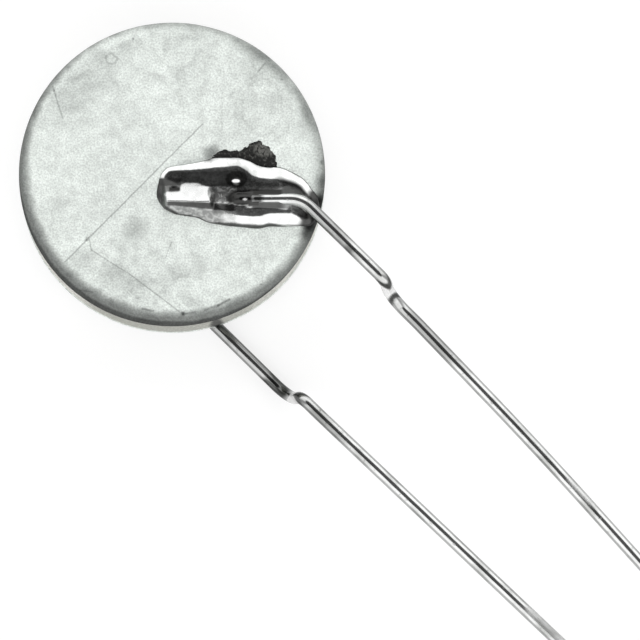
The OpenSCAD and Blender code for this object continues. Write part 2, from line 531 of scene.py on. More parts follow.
SCRATCHES = marks(
    MarkKind.STROKE,
    ((1.25, 2.04), (-4.34, -3.63), 0.055, 0.42),
    ((-3.28, -3.14), (-1.73, -4.12), 0.045, 0.34),
    ((-1.73, -4.12), (0.31, -5.67), 0.05, 0.4),
    ((-3.36, -2.65), (-3.28, -3.14), 0.05, 0.35),
    ((-0.01, -2.82), (-0.26, -3.47), 0.04, 0.3),
    ((-4.87, 3.59), (-4.46, 2.25), 0.06, 0.36),
    ((-3.2, -4.87), (-3.75, -4.78), 0.05, 0.35),
    ((3.5, 4.2), (3.78, 4.53), 0.06, 0.4),
    ((2.03, 3.39), (2.03, 1.55), 0.05, 0.1),
)
LOWER_RIM = marks(
    MarkKind.STROKE,
    ((2.35, -5.16), (1.88, -5.41), 0.09, 0.6),
    ((1.88, -5.41), (1.35, -5.59), 0.1, 0.4),
    ((0.95, -5.68), (0.45, -5.77), 0.07, 0.35),
    ((-1.2, -5.56), (-0.75, -5.63), 0.07, 0.45),
)
SPECKS = marks(
    MarkKind.SMUDGE,
    ((-1.6, 5.51), (0.07, 0.05), 1.4, 0.6),
    ((-4.79, 3.39), (0.06, 0.06), 1.4, 0.5),
    ((-1.4, -5.06), (0.08, 0.05), 1.4, 0.5),
    ((3.66, -4.53), (0.07, 0.06), 1.4, 0.5),
    ((0.42, -5.78), (0.13, 0.06), 1.4, 0.8),
    ((4.44, 3.88), (0.05, 0.05), 1.4, 0.4),
    ((5.54, 2.78), (0.06, 0.05), 1.4, 0.4),
    ((6.08, 0.53), (0.09, 0.12), 1.4, 0.4),
    ((-3.4, -2.72), (0.1, 0.1), 1.4, 0.5),
)
STAINS = marks(
    MarkKind.SMUDGE,
    ((-1.5, -2.3), (0.5, 0.48), 1.6, 0.34),
    ((-1.95, -2.95), (0.4, 0.35), 1.6, 0.16),
    ((0.2, -4.15), (0.5, 0.42), 1.5, 0.26),
    ((0.35, 4.0), (0.42, 0.5), 1.5, 0.16),
    ((-4.5, -1.25), (0.4, 0.3), 1.5, 0.18),
    ((-2.35, -4.1), (0.75, 0.45), 1.5, 0.2),
    ((-3.6, -3.6), (0.6, 0.6), 1.5, 0.18),
    ((-1.6, -4.65), (1.3, 0.4), 1.5, 0.16),
    ((-4.1, 2.9), (0.9, 0.9), 1.5, 0.16),
    ((-3.3, 3.9), (1.3, 0.9), 1.4, 0.17),
    ((-2.5, 4.8), (0.9, 0.5), 1.4, 0.15),
    ((-1.75, 5.25), (0.5, 0.3), 1.4, 0.22),
    ((0.8, 5.6), (0.8, 0.25), 1.4, 0.18),
    ((3.2, 4.3), (0.7, 0.4), 1.4, 0.16),
    ((5.45, 2.3), (0.3, 0.8), 1.4, 0.25),
    ((4.05, 3.05), (0.4, 0.55), 1.3, 0.18),
    ((2.75, 2.4), (0.3, 0.6), 1.4, 0.14),
)
SMOKE_BY_THE_CRUST = marks(
    MarkKind.SMUDGE,
    ((1.66, 0.86), (0.3, 0.38), 1.4, 0.66),
    ((1.38, 0.95), (0.22, 0.28), 1.4, 0.28),
) + marks(MarkKind.STROKE, ((1.6, 0.68), (0.3, 0.42), 0.14, 0.22))
RIM_SOOT = marks(
    MarkKind.STROKE,
    ((2.7, 5.45), (4.5, 4.1), 0.5, 0.3),
    ((3.3, 5.15), (3.9, 4.75), 0.3, 0.22),
    ((5.8, 1.9), (5.1, 3.4), 0.35, 0.25),
    ((6.1, -0.3), (6.0, -1.1), 0.42, 0.45),
    ((6.2, 0.6), (6.1, -0.3), 0.35, 0.1),
    ((5.95, -1.1), (5.45, -2.45), 0.45, 0.8),
    ((5.95, -1.1), (5.6, -2.15), 0.4, 0.7),
) + marks(MarkKind.SMUDGE, ((5.62, -2.0), (0.28, 0.4), 1.3, 0.5))
RINGS = marks(
    MarkKind.RING,
    ((-2.46, 4.69), (0.22, 0.2), 0.4, 0.3),
    ((3.66, 2.74), (0.82, 1.18), 0.12, 0.14),
    ((3.75, 2.7), (1.15, 1.4), 0.08, 0.1),
)
FRONT_MARKS = SCRATCHES + LOWER_RIM + SPECKS + STAINS + SMOKE_BY_THE_CRUST + RIM_SOOT + RINGS
# A near-black smudge on the rear film where the rear lead crosses the rim.
REAR_MARKS = marks(MarkKind.SMUDGE, ((1.82, -5.95), (0.4, 0.4), 1.3, 0.97))


@dataclass(frozen=True)
class FilmFinish:
    """Matte fired silver: mottled, finely grained, tarnished along its edge, with painted shade on the
    rounded rim and a painted shadow line under the film's edge, both toward the view's low side.
    """

    colour: Colour = (0.85, 0.90, 0.86)
    # Tarnish colour, which toward the view's low side also paints the rim's shade.
    tarnish_and_painted_shade: Colour = (0.1, 0.106, 0.1)
    # Colour of the painted shadow line under the film's edge.
    painted_edge_shadow: Colour = (0.04, 0.042, 0.04)
    metallic: float = 0.3
    roughness: float = 0.55
    view_turn: float = math.radians(-44.6)
    ripple_scale: float = 2.4
    stroke_ripple: float = 0.05
    smudge_ripple: float = 0.35
    to_right: Way = (0.02, 0.0, 0.0)
    to_low: Way = (-0.016, -0.045, 0.0)

    def make(self, name: str, worn: tuple[Mark, ...]) -> bpy.types.Material:
        """Makes the film's material.

        Args:
            name: the material's name.
            worn: the marks that this film has.

        Returns:
            The material.
        """
        nodes = MaterialNodes(name)
        place = nodes.place(self.view_turn)
        mottle = nodes.noise(place, 2.2, 4.0)
        grain = nodes.noise(place, 14.0, 2.0)
        light = nodes.times(self._clouds(nodes, place), nodes.span(mottle, 0.3, 0.7, (0.93, 1.04)))
        light = nodes.times(light, nodes.span(grain, 0.25, 0.75, (0.78, 1.14)))
        fine, coarse = (self._rippled(nodes, place, by) for by in (self.stroke_ripple, self.smudge_ripple))
        for mark in worn:
            mask = mark.mask(nodes, fine if mark.kind is MarkKind.STROKE else coarse)
            light = nodes.times(light, nodes.less(1.0, mask))
        # Tarnishing mixed with painted shade on the rim, then the painted shadow line under the film's edge.
        edge, line = self._edge(nodes, place, mottle)
        colour = nodes.mix(line, nodes.mix(edge, self.colour, self.tarnish_and_painted_shade), self.painted_edge_shadow)
        nodes.set({
            "Base Color": nodes.vector("SCALE", colour, light),
            "Metallic": self.metallic,
            "Specular IOR Level": nodes.times(light, 0.5),
            "Roughness": nodes.span(mottle, 0.3, 0.7, (self.roughness - 0.06, self.roughness + 0.06)),
        })
        nodes.bump(nodes.plus(grain, mottle), 0.004, 0.6)
        return nodes.material

    def _clouds(self, nodes: Nodes, place: Socket) -> Socket:
        """Draws broad clouds, and blotches that are stronger at the top and the bottom of the view.

        Args:
            nodes: the tree to draw them in.
            place: each point's place in the view's frame, in mm.

        Returns:
            The share of the light that they leave at each point.
        """
        clouds = nodes.span(nodes.noise(place, 0.45, 4.0, 0.4), 0.3, 0.7, (0.94, 1.04))
        upward = nodes.vector("DOT_PRODUCT", place, (0.0, 1.0, 0.0))
        outer = nodes.span(nodes.math("ABSOLUTE", upward), 1.5, 4.5, (0.02, 0.15))
        blotches = nodes.span(nodes.noise(place, 1.4, 6.0, 0.5), 0.5, 0.62)
        return nodes.times(clouds, nodes.less(1.0, nodes.times(blotches, outer)))

    def _rippled(self, nodes: Nodes, place: Socket, by: float) -> Socket:
        """Moves the places by a smooth noise, which makes the lines of marks uneven.

        Args:
            nodes: the tree to draw in.
            place: each point's place in the view's frame, in mm.
            by: the strength of the noise, in mm.

        Returns:
            The moved places, with no height.
        """
        ripple = nodes.noise(place, self.ripple_scale, give="Color")
        moved = nodes.vector("SCALE", nodes.vector("SUBTRACT", ripple, (0.5,) * 3), by)
        return nodes.vector("MULTIPLY", nodes.vector("ADD", place, moved), FLAT)

    def _edge(self, nodes: Nodes, place: Socket, mottle: Socket) -> tuple[Socket, Socket]:
        """Draws the darkening along the film's edge, which is stronger to the view's right and low sides:
        tarnishing, with painted shade on the rounded rim toward the low side.

        Args:
            nodes: the tree to draw it in.
            place: each point's place in the view's frame, in mm.
            mottle: the noise that makes the darkening uneven.

        Returns:
            The tarnishing with its painted shade, and the painted shadow line outside it, at each point, from
            0 to 1.
        """
        flat = nodes.vector("MULTIPLY", place, FLAT)
        from_axis = nodes.vector("LENGTH", flat)
        right = nodes.vector("DOT_PRODUCT", flat, self.to_right)
        low = nodes.vector("DOT_PRODUCT", flat, self.to_low)
        uneven = nodes.plus(from_axis, nodes.times(nodes.less(mottle, 0.5), 0.4))
        # Tarnishing all round the edge, stronger to the view's right.
        all_round = nodes.span(nodes.plus(uneven, right), DISC.radius - 0.45, DISC.radius + 0.05, (0.0, 0.5))
        # Painted shade on the rounded rim, stronger toward the view's low side.
        reach = nodes.plus(uneven, low)
        inner = nodes.span(reach, DISC.flat_r + 0.07, DISC.radius - 0.12, (0.0, 0.66))
        outer = nodes.span(reach, DISC.radius - 0.18, DISC.radius + 0.02, (0.0, 0.22))
        # Painted shadow line under the film's edge, on the view's low side.
        calm = nodes.plus(from_axis, nodes.plus(low, nodes.times(mottle, 0.12)))
        line = nodes.span(calm, DISC.radius + 0.13, DISC.radius + 0.25, (0.0, 0.85))
        return nodes.most(all_round, nodes.plus(inner, outer)), line


@dataclass(frozen=True)
class CeramicFinish:
    """Sintered ceramic: pale cream, matte and grainy, with painted shade on the side toward +x and -y, and
    near black where the rear lead crosses the rim.
    """

    light: Colour = (0.95, 0.94, 0.88)
    dark: Colour = (0.45, 0.455, 0.41)
    near_black: Colour = (0.05, 0.05, 0.047)
    # Way toward the side of the wall that gets painted shade.
    to_painted_shade: Way = (0.113, -0.115, 0.0)
    to_front: Way = (0.0, 0.0, 0.07)
    roughness: float = 0.7

    def make(self) -> bpy.types.Material:
        """Makes the ceramic's material.

        Returns:
            The material.
        """
        nodes = MaterialNodes("ceramic")
        place = nodes.place()
        grain = nodes.noise(place, 9.0, 3.0)
        stained = nodes.times(nodes.span(nodes.noise(place, 0.5, 3.0), 0.4, 0.62), 0.4)
        # Painted shade: the side of the wall toward +x and -y is darker.
        painted_shade_side = nodes.span(nodes.vector("DOT_PRODUCT", place, self.to_painted_shade), 0.72, 0.93, (0.0, 0.9))
        # Share of the dark colour: the larger of the random stains and the painted shade, plus grain.
        speckled_and_painted_shade = nodes.math("ADD", nodes.most(stained, painted_shade_side), nodes.span(grain, 0.35, 0.65, (-0.2, 0.45)),
                              clamp=True)
        rear_lead = (LEG.rim_x, -LEG.spread / 2, 0.0)
        from_lead = nodes.vector("DISTANCE", nodes.vector("MULTIPLY", place, FLAT), rear_lead)
        frontward = nodes.vector("DOT_PRODUCT", place, self.to_front)
        uneven = nodes.plus(frontward, nodes.times(nodes.noise(place, 4.0, 3.0), 0.35))
        # Near black where the rear lead crosses the rim, spreading toward the rear face.
        soot_and_painted_dark = nodes.span(nodes.plus(from_lead, uneven), 0.28, 0.52, (0.93, 0.0))
        nodes.set({
            "Base Color": nodes.mix(soot_and_painted_dark, nodes.mix(speckled_and_painted_shade, self.light, self.dark), self.near_black),
            "Roughness": nodes.span(grain, 0.3, 0.7, (self.roughness - 0.1, self.roughness + 0.1)),
        })
        nodes.bump(grain, 0.01, 0.7)
        return nodes.material


@dataclass(frozen=True)
class SolderFinish:
    """Flowed solder: bright, with a painted white highlight and painted glints, grainy and dull patches, and
    smoke marks with painted dark reflections and shade, which the piece's points carry.
    """

    colour: Colour = (0.74, 0.75, 0.74)
    # White of the painted highlight.
    painted_white: Colour = (0.97, 0.97, 0.97)
    dulled: Colour = (0.25, 0.255, 0.25)
    flecked: Colour = (0.5, 0.51, 0.5)
    # Near black for dark grain flecks, smoke marks and painted dark reflections.
    near_black: Colour = (0.028, 0.028, 0.027)
    roughness: float = 0.13
    matte_roughness: float = 0.42

    def make(self) -> bpy.types.Material:
        """Makes the solder's material.

        Returns:
            The material.
        """
        nodes = MaterialNodes("solder")
        place = nodes.place()
        painted_highlight, dull, soot_and_painted_dark, crystal = (nodes.attribute(name) for name in ("painted_highlight", "dull", "soot_and_painted_dark", "crystal"))
        fine = nodes.noise(place, 11.0, 3.0)
        broad = nodes.noise(place, 3.0, 2.0)
        speck = nodes.span(nodes.noise(place, 5.0, 3.0, 0.6), 0.42, 0.68)
        base = nodes.mix(nodes.span(broad, 0.35, 0.7, (0.0, 0.35)), self.colour, self.dulled)
        base = nodes.mix(dull, base, nodes.mix(speck, self.dulled, self.flecked))
        base = nodes.mix(nodes.times(crystal, nodes.span(speck, 0.0, 1.0, (0.75, 0.0))), base, self.near_black)
        # Painted dark: mostly painted dark reflections and shade, with real smoke marks by the crust.
        base = nodes.mix(soot_and_painted_dark, base, self.near_black)
        matte = nodes.most(painted_highlight, nodes.most(nodes.times(crystal, 0.5), nodes.times(dull, 0.85)))
        uneven = nodes.span(fine, 0.3, 0.7, (self.roughness - 0.03, self.roughness + 0.05))
        uneven = nodes.plus(uneven, nodes.times(soot_and_painted_dark, 0.08))
        # The painted highlight whitens the base colour.
        nodes.set({
            "Base Color": nodes.mix(painted_highlight, base, self.painted_white),
            "Metallic": nodes.less(1.0, nodes.times(matte, 0.85)),
            "Roughness": nodes.blend(matte, uneven, self.matte_roughness),
            "Specular IOR Level": nodes.blend(soot_and_painted_dark, 0.5, 0.1),
        })
        lumps = nodes.times(fine, nodes.plus(0.04, nodes.plus(crystal, dull)))
        nodes.bump(nodes.plus(lumps, nodes.times(broad, 0.15)), 0.03, 0.8)
        return nodes.material


@dataclass(frozen=True)
class WireFinish:
    """Tinned wire: bright, with streaks along it, small scuffs, a painted near-white link at each kink, and
    staining with painted dark reflections, and wear, that the piece's points carry.
    """

    colour: Colour = (0.6, 0.605, 0.6)
    dark: Colour = (0.24, 0.245, 0.235)
    # Near white of the kink's link, a painted reflection.
    painted_pale: Colour = (0.97, 0.97, 0.965)
    # Near black of the stains and of the painted dark reflections at the kinks and by the disc.
    stained: Colour = (0.05, 0.052, 0.049)
    roughness: float = 0.14
    streak_scale: Way = (9.0, 9.0, 0.5)
    blotch_scale: Way = (2.0, 2.0, 0.9)

    def make(self) -> bpy.types.Material:
        """Makes the wire's material, whose streaks run along the straightened wire.

        Returns:
            The material.
        """
        nodes = MaterialNodes("tinned_wire")
        straight = nodes.attribute("straight", "Vector")
        painted_pale = nodes.attribute("painted_pale")
        streaks = nodes.noise(nodes.vector("MULTIPLY", straight, self.streak_scale), 1.0, 3.0)
        blotches = nodes.noise(nodes.vector("MULTIPLY", straight, self.blotch_scale), 1.0, 3.0)
        scuffs = nodes.span(nodes.noise(straight, 5.0, 3.0), 0.62, 0.72)
        dark = nodes.span(blotches, 0.42, 0.7, (0.0, 0.6))
        tone = nodes.math("ADD", dark, nodes.times(scuffs, 0.3), clamp=True)
        # Painted reflection: the kink's steep link is painted near white.
        base = nodes.mix(painted_pale, nodes.mix(tone, self.colour, self.dark), self.painted_pale)
        # Stains and painted dark reflections at the kinks and by the disc.
        stain_and_painted_dark = nodes.times(nodes.attribute("stain_and_painted_dark"), nodes.span(streaks, 0.25, 0.6, (0.75, 1.0)))
        worn = nodes.times(nodes.attribute("worn"), nodes.span(streaks, 0.3, 0.6, (0.6, 1.0)))
        matte = nodes.most(nodes.times(worn, 0.6), nodes.times(painted_pale, 0.9))
        grazed = nodes.most(nodes.times(scuffs, 0.2), nodes.times(worn, 0.45))
        even = nodes.span(streaks, 0.3, 0.7, (self.roughness - 0.04, self.roughness + 0.07))
        nodes.set({
            "Base Color": nodes.mix(stain_and_painted_dark, base, self.stained),
            "Metallic": nodes.less(1.0, matte),
            "Roughness": nodes.plus(even, grazed),
        })
        nodes.bump(nodes.plus(streaks, blotches), 0.006, 0.7)
        return nodes.material


@dataclass(frozen=True)
class FluxFinish:
    """Burnt flux: a black, rough crust with brown-grey specks and a patch of ash."""

    colour: Colour = (0.012, 0.012, 0.011)
    speck: Colour = (0.13, 0.13, 0.12)

    def make(self) -> bpy.types.Material:
        """Makes the crust's material.

        Returns:
            The material.
        """
        nodes = MaterialNodes("burnt_flux")
        crumbs = nodes.noise(nodes.place(), 9.0, 4.0, 0.6)
        ash = nodes.times(nodes.attribute("ash"), nodes.span(crumbs, 0.38, 0.55))
        pale = nodes.most(nodes.span(crumbs, 0.5, 0.68, (0.0, 0.6)), ash)
        nodes.set({
            "Base Color": nodes.mix(pale, self.colour, self.speck),
            "Roughness": nodes.span(crumbs, 0.3, 0.7, (0.6, 0.9)),
            "Specular IOR Level": 0.2,
        })
        nodes.bump(crumbs, 0.04, 0.9)
        return nodes.material


@dataclass
class Ceramic:
    """The ceramic disc, which stays as its CAD node."""

    node: str = "ceramic_disc"

    def dress(self) -> None:
        """Gives the node its finish."""
        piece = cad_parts[self.node]
        piece.data.materials.clear()
        piece.data.materials.append(CeramicFinish().make())
        LOG.info("%s keeps its CAD mesh", self.node)


@dataclass
class Electrode:
    """The silver film on one face, wrapped over the rounded rim with an uneven edge."""

    side: Side
    spin_steps: int = 256
    arc_steps: int = 14
    sunk: float = 0.01
    edge_wave: float = 0.035
    edge_band: float = 0.04
    edge_inset: float = 0.03

    def profile(self) -> list[Vector]:
        """Draws the film's section.

        Returns:
            Its points from the axis out over the rim and back under the film.
        """
        arcs = [DISC.rim_turn * i / self.arc_steps for i in range(self.arc_steps + 1)]
        outer = [self._on_rim(turn, DISC.film_t) for turn in arcs]
        inner = [self._on_rim(turn, -self.sunk) for turn in reversed(arcs)]
        flat = [Vector((DISC.flat_r * share, 0, DISC.face_z)) for share in (0.0, 0.5)]
        under = [Vector((DISC.flat_r * share, 0, DISC.half_t - self.sunk)) for share in (0.5, 0.0)]
        return flat + outer + inner + under

    def _on_rim(self, turn: float, grow: float) -> Vector:
        """Finds a point on the rounding.

        Args:
            turn: the angle from the disc's axis.
            grow: how far the rounding is grown outwards.

        Returns:
            The point, kept inside the wall's own growth.
        """
        reach = DISC.rim_r + grow
        from_axis = min(DISC.flat_r + reach * math.sin(turn), DISC.radius + max(grow, 0.0))
        return Vector((from_axis, 0, DISC.rim_z + reach * math.cos(turn)))

    def build(self) -> bpy.types.Object:
        """Spins the section about the disc's axis and makes its lower edge uneven.

        Returns:
            The film.
        """
        bm = bmesh.new()
        verts = [bm.verts.new(point) for point in self.profile()]
        edges = [bm.edges.new(pair) for pair in zip(verts, verts[1:])]
        bmesh.ops.spin(bm, geom=verts + edges, cent=(0, 0, 0), axis=(0, 0, 1), angle=2 * math.pi,
                       steps=self.spin_steps, use_merge=True)
        bmesh.ops.remove_doubles(bm, verts=bm.verts, dist=10 * TINY)
        for vert in bm.verts:
            low = vert.co.z < DISC.wall_half + self.edge_band
            if low and vert.co.xy.length > DISC.radius - self.edge_inset:
                vert.co.z += self.edge_wave * (noise.noise(vert.co * 1.3) + noise.noise(vert.co * 5.0) * 0.5)
        return to_piece(bm, f"{self.side.value}_film", DISC.place(self.side))

    def dress(self, piece: bpy.types.Object) -> None:
        """Gives the film its finish, with the photo's marks on the front one and a near-black smudge where
        the rear lead crosses the rim.

        Args:
            piece: the film.
        """
        look, worn = FilmFinish(), FRONT_MARKS
        if self.side is Side.REAR:
            # The rear film keeps its own colour at the edge, with only the near-black smudge by the rear
            # lead.
            look, worn = FilmFinish(tarnish_and_painted_shade=look.colour, painted_edge_shadow=look.colour), REAR_MARKS
        finish = look.make(f"silver_film_{self.side.value}", worn)
        seat(piece, finish, f"{self.side.value}_electrode")


@dataclass
class Relief:
    """Something laid on a face as a height over the film, drawn on a fine grid beside the wire's leg.

    It reaches past its outline, under the film, by its margin in steps of the grid.
    """

    side: Side
    spacing: float
    low: Point2
    high: Point2
    margin: float = 1.5
    places: Places = field(init=False)
    inside: np.ndarray = field(init=False)

    def grid(self) -> bmesh.types.BMesh:
        """Lays the flat grid and notes the places of its points.

        Returns:
            The grid's mesh.
        """
        bm = bmesh.new()
        counts = [round((b - a) / self.spacing) for a, b in zip(self.low, self.high)]
        bmesh.ops.create_grid(bm, x_segments=counts[0], y_segments=counts[1], size=1.0)
        flat = np.array([vert.co[:2] for vert in bm.verts])
        spans = zip(self.low, self.high, flat.T)
        self.places = Places(*(low + (share + 1) / 2 * (high - low) for low, high, share in spans))
        return bm

    def close(self, bm: bmesh.types.BMesh, height: np.ndarray, values: dict[str, np.ndarray],
              name: str) -> bpy.types.Object:
        """Raises the grid, cuts off what lies well outside the outline and closes it under the film.

        Args:
            bm: the grid's mesh.
            height: how far each of its points rises over the film.
            values: what the points carry for the finish.
            name: the piece's name.

        Returns:
            The piece.
        """
        for label, column in values.items():
            layer = bm.verts.layers.float.new(label)
            for vert, value in zip(bm.verts, column):
                vert[layer] = float(value)
        for vert, point in zip(bm.verts, self.places.wrap(height)):
            vert.co = point
        outside = [vert for vert, depth in zip(bm.verts, self.inside) if depth < -self.margin * self.spacing]
        bmesh.ops.delete(bm, geom=outside, context="VERTS")
        bmesh.ops.holes_fill(bm, edges=[edge for edge in bm.edges if edge.is_boundary], sides=0)
        return to_piece(bm, name, DISC.place(self.side))


@dataclass
class Solder(Relief):
    """The solder on one face as a height over the film, with the patches that its finish reads."""

    spacing: float = 0.03
    low: Point2 = (-0.15, -2.0)
    high: Point2 = (7.0, 1.9)
    tallest: float = 0.575
    deepest: float = 0.05
    steep: float = 1.5
    band_slope: float = 0.5
    bed_slope: float = 0.17
    rim_thinning: float = 0.35
    facet_z: float = 0.2
    facet_rise: float = 0.035
    facet_from: float = 0.57
    facet_slope: float = 0.385
    back_slope: float = 0.95
    crest_v: float = -0.2
    crest_fall: float = 0.035
    ridge_rise: Point2 = (0.2, 0.44)
    ridge_fall: Point2 = (2.12, 2.36)
    blur: float = 0.03
    wire_v: float = -0.12
    wire_z: float = 0.28
    sleeve_r: float = 0.265
    sleeve_dips_from: float = 3.5
    sleeve_rise: Point2 = (2.9, 3.4)
    sleeve_fall: Point2 = (3.8, 4.1)
    wedge_z: float = 0.49
    wedge_slope: float = 0.6
    wedge_from: float = 0.15
    wedge_rise: Point2 = (3.5, 4.0)
    wedge_fall: Point2 = (4.9, 5.5)
    bead: Hill = ((3.25, 0.57), (0.13, 0.1))
    bead_h: float = 0.06
    dent: Hill = ((0.73, 0.33), (0.2, 0.1))
    dent_h: float = 0.03
    lumps: tuple[Layer, ...] = ((0.004, 1.6, 3.0), (0.002, 4.0, 8.0))
    grainy: Plot = ((2.25, -0.3), (3.3, 0.35), 0.12)
    grains: Layer = (0.014, 5.0, 2.0)
    wander: tuple[Layer, ...] = ((0.06, 3.0, 1.0), (0.03, 9.0, 5.0))
    crystal: Plot = ((2.18, -0.28), (3.2, 0.38), 0.08)
    bite: Plot = ((0.49, 0.19), (0.96, 0.43), 0.05)
    # Painted highlights: the facet's white patch and glints on the bead and the wire.
    facet_highlight: float = 0.36
    bead_glint: Hill = ((3.23, 0.62), (0.19, 0.09))
    wire_glint: Hill = ((3.6, -0.15), (0.12, 0.06))
    dull_strip: Plot = ((0.3, -1.6), (3.8, -0.36), 0.07)
    crust_edge: Plot = ((1.92, 0.9), (4.75, 2.5), 0.14)
    crust_smoke: Hill = ((2.1, 1.58), (0.3, 0.13))
    # Painted dark reflections round the bead and the wire, and in the gaps by the wire, the tip and the
    # facet's end.
    bead_painted_dark: Hill = ((3.25, 0.7), (0.55, 0.42))
    wire_painted_dark: Hill = ((3.45, -0.06), (0.55, 0.33))
    wire_gap: Plot = ((3.7, -0.45), (4.2, 0.34), 0.06)
    tip_gap: Plot = ((0.06, 0.44), (1.05, 0.8), 0.05)
    facet_end: Plot = ((2.13, -0.5), (2.4, 0.62), 0.07)
    outline: list[Point2] = field(default_factory=lambda: [
        (0.01, 0.25), (0.15, 0.88), (0.3, 1.12), (0.54, 1.28), (1.36, 1.41), (1.98, 1.53), (2.37, 1.64),
        (2.8, 1.66), (3.33, 1.65), (3.77, 1.53), (4.15, 1.34), (4.49, 1.26), (4.9, 1.24), (5.21, 1.17),
        (5.84, 0.85), (6.13, 0.6), (6.34, 0.3), (6.5, 0.12), (6.62, -0.1), (6.66, -0.5), (6.5, -0.95),
        (6.28, -1.18), (6.05, -1.22), (5.86, -1.2), (4.97, -1.22), (4.57, -1.21), (4.15, -1.29),
        (3.53, -1.24), (3.04, -1.19), (2.56, -1.12), (2.08, -1.03), (1.6, -0.82), (0.88, -0.7),
        (0.59, -0.59), (0.28, -0.4), (0.05, -0.08),
    ])
    band_rows: list[tuple[float, float, float]] = field(default_factory=lambda: [
        (0.3, 0.15, 0.25), (0.64, 0.2, 0.3), (1.36, 0.3, 0.4), (1.98, 0.39, 0.5), (2.56, 0.5, 0.45),
        (3.33, 0.42, 0.42), (3.9, 0.6, 0.42), (4.25, 0.6, 0.45), (4.97, 0.58, 0.5), (5.45, 0.47, 0.5),
        (5.84, 0.38, 0.32), (6.4, 0.25, 0.15),
    ])
    # Outline of the facet's painted white highlight.
    painted_white: list[Point2] = field(default_factory=lambda: [
        (0.31, 0.13), (0.36, 0.0), (0.5, -0.12), (0.66, -0.18), (1.2, -0.21), (1.8, -0.23), (2.2, -0.26),
        (2.11, -0.05), (2.07, 0.2), (2.12, 0.38), (1.74, 0.53), (1.45, 0.57), (1.2, 0.55), (1.02, 0.48),
        (0.96, 0.3), (0.88, 0.2), (0.62, 0.17), (0.45, 0.2),
    ])

    @property
    def past_crest(self) -> np.ndarray:
        """How far each place lies past the crest of the ridge over the wire's end."""
        return self.crest_v - self.crest_fall * (self.places.u - self.facet_from) - self.places.v

    @property
    def off_wire(self) -> np.ndarray:
        """How far each place lies beside the wire's middle line."""
        return np.abs(self.places.v - self.wire_v)

    def band(self) -> tuple[np.ndarray, np.ndarray]:
        """Measures the sloping band along the outline.

        Returns:
            Width of the steep lip, and the share of the band's width at which each place lies.
        """
        u, rows = self.places.u, np.array(self.band_rows)
        upper = ease(-0.35, 0.35, self.places.v - 0.1)
        above, below = (np.interp(u, rows[:, 0], rows[:, i]) for i in (1, 2))
        lip = 0.04 + 0.06 * (1 - upper) * ease(2.4, 2.9, u)
        return lip, (self.inside - lip) / (above * upper + below * (1 - upper))

    def bed(self) -> np.ndarray:
        """Shapes the pool that the wire lies in: a steep lip, a sloping band and a nearly flat middle.

        Returns:
            Height over the film.
        """
        lip, share = self.band()
        width = (self.inside - lip) / np.where(np.abs(share) > TINY, share, 1)
        t = np.clip(share, 0, 1)
        bed = self.steep * np.minimum(self.inside, lip) + self.band_slope * width * (t - t**5 / 5)
        bed = bed + self.bed_slope * np.clip(self.inside - lip - width, 0, 0.6)
        rim = ease(DISC.flat_r - 1.6, DISC.flat_r + 0.3, self.places.from_axis)
        return np.where(self.inside > 0, bed * (1 - self.rim_thinning * rim), bed)

    def height(self) -> np.ndarray:
        """Shapes the solder's top.

        Returns:
            Height over the film, below 0 outside the outline.
        """
        at, bed, past = self.places, self.bed(), self.past_crest
        facet = self.facet_z + self.facet_rise * at.u + self.facet_slope * (self.facet_from - at.v)
        ridge = facet - np.where(past > 0, (self.back_slope + self.facet_slope) * past, 0)
        covered = window(at.u, self.ridge_rise, self.ridge_fall)
        ridge = bed + (ridge - bed) * covered
        seam = np.maximum(self.blur - np.abs(bed - ridge), 0) ** 2 / (4 * self.blur)
        body = self.along_wire(np.maximum(bed, ridge) + seam * covered)
        body = body + self.bead_h * at.hill(*self.bead) - self.dent_h * at.hill(*self.dent)
        lumps = at.rough(*self.lumps) + at.plot(*self.grainy) * at.rough(self.grains)
        body = body + lumps * ease(0, 0.3, self.inside)
        return np.clip(np.where(self.inside > 0, body, self.steep * self.inside), -self.deepest, self.tallest)

    def along_wire(self, body: np.ndarray) -> np.ndarray:
        """Adds the sleeve over the wire where it leaves the ridge, and the wedges beside it further on.

        Args:
            body: the solder's height without them.

        Returns:
            The solder's height with them.
        """
        u, off = self.places.u, self.off_wire
        sleeve = self.wire_z + np.sqrt(np.maximum(self.sleeve_r**2 - off**2, 0))
        sleeve = sleeve - 0.5 * np.maximum(self.sleeve_dips_from - u, 0) ** 2
        over = window(u, self.sleeve_rise, self.sleeve_fall) * (1 - ease(0.2, 0.27, off))
        body = body + np.maximum(sleeve - body, 0) * over
        wedge = self.wedge_z - self.wedge_slope * np.maximum(off - self.wedge_from, 0)
        return body + np.maximum(wedge - body, 0) * window(u, self.wedge_rise, self.wedge_fall)

    def patches(self) -> dict[str, np.ndarray]:
        """Lays out the finish.

        Returns:
            Painted highlight, dullness, the dark share (smoke marks by the crust, painted dark reflections
            and shade elsewhere) and grain of each place, from 0 to 1.
        """
        at = self.places
        wander = at.rough(*self.wander)
        astray = at.moved(wander, wander)
        bite = at.moved(wander, 0.5 * wander).plot(*self.bite)
        # Painted highlight: the facet's white patch, less where it is bitten, and glints on the bead and the
        # wire.
        painted_highlight = ease(-0.035, 0.035, at.depth_in(self.painted_white) + 0.5 * wander) * self.facet_highlight * (1 - bite)
        painted_highlight = np.maximum(painted_highlight, ease(0.4, 0.7, at.hill(*self.bead_glint)))
        painted_highlight = np.maximum(painted_highlight, 0.7 * ease(0.4, 0.7, at.hill(*self.wire_glint)))
        falling = at.v + 0.1 * np.clip(at.u - 0.6, 0, 2.4)
        strip = Places(at.u, falling + wander).plot(*self.dull_strip)
        strip = strip * (1 - ease(2.35, 3.45, at.u + 3 * wander))
        from_axis = at.from_axis + wander
        crystal = astray.plot(*self.crystal)
        under = ease(-0.01, 0.03, self.past_crest) * ease(-0.41, -0.34, falling)
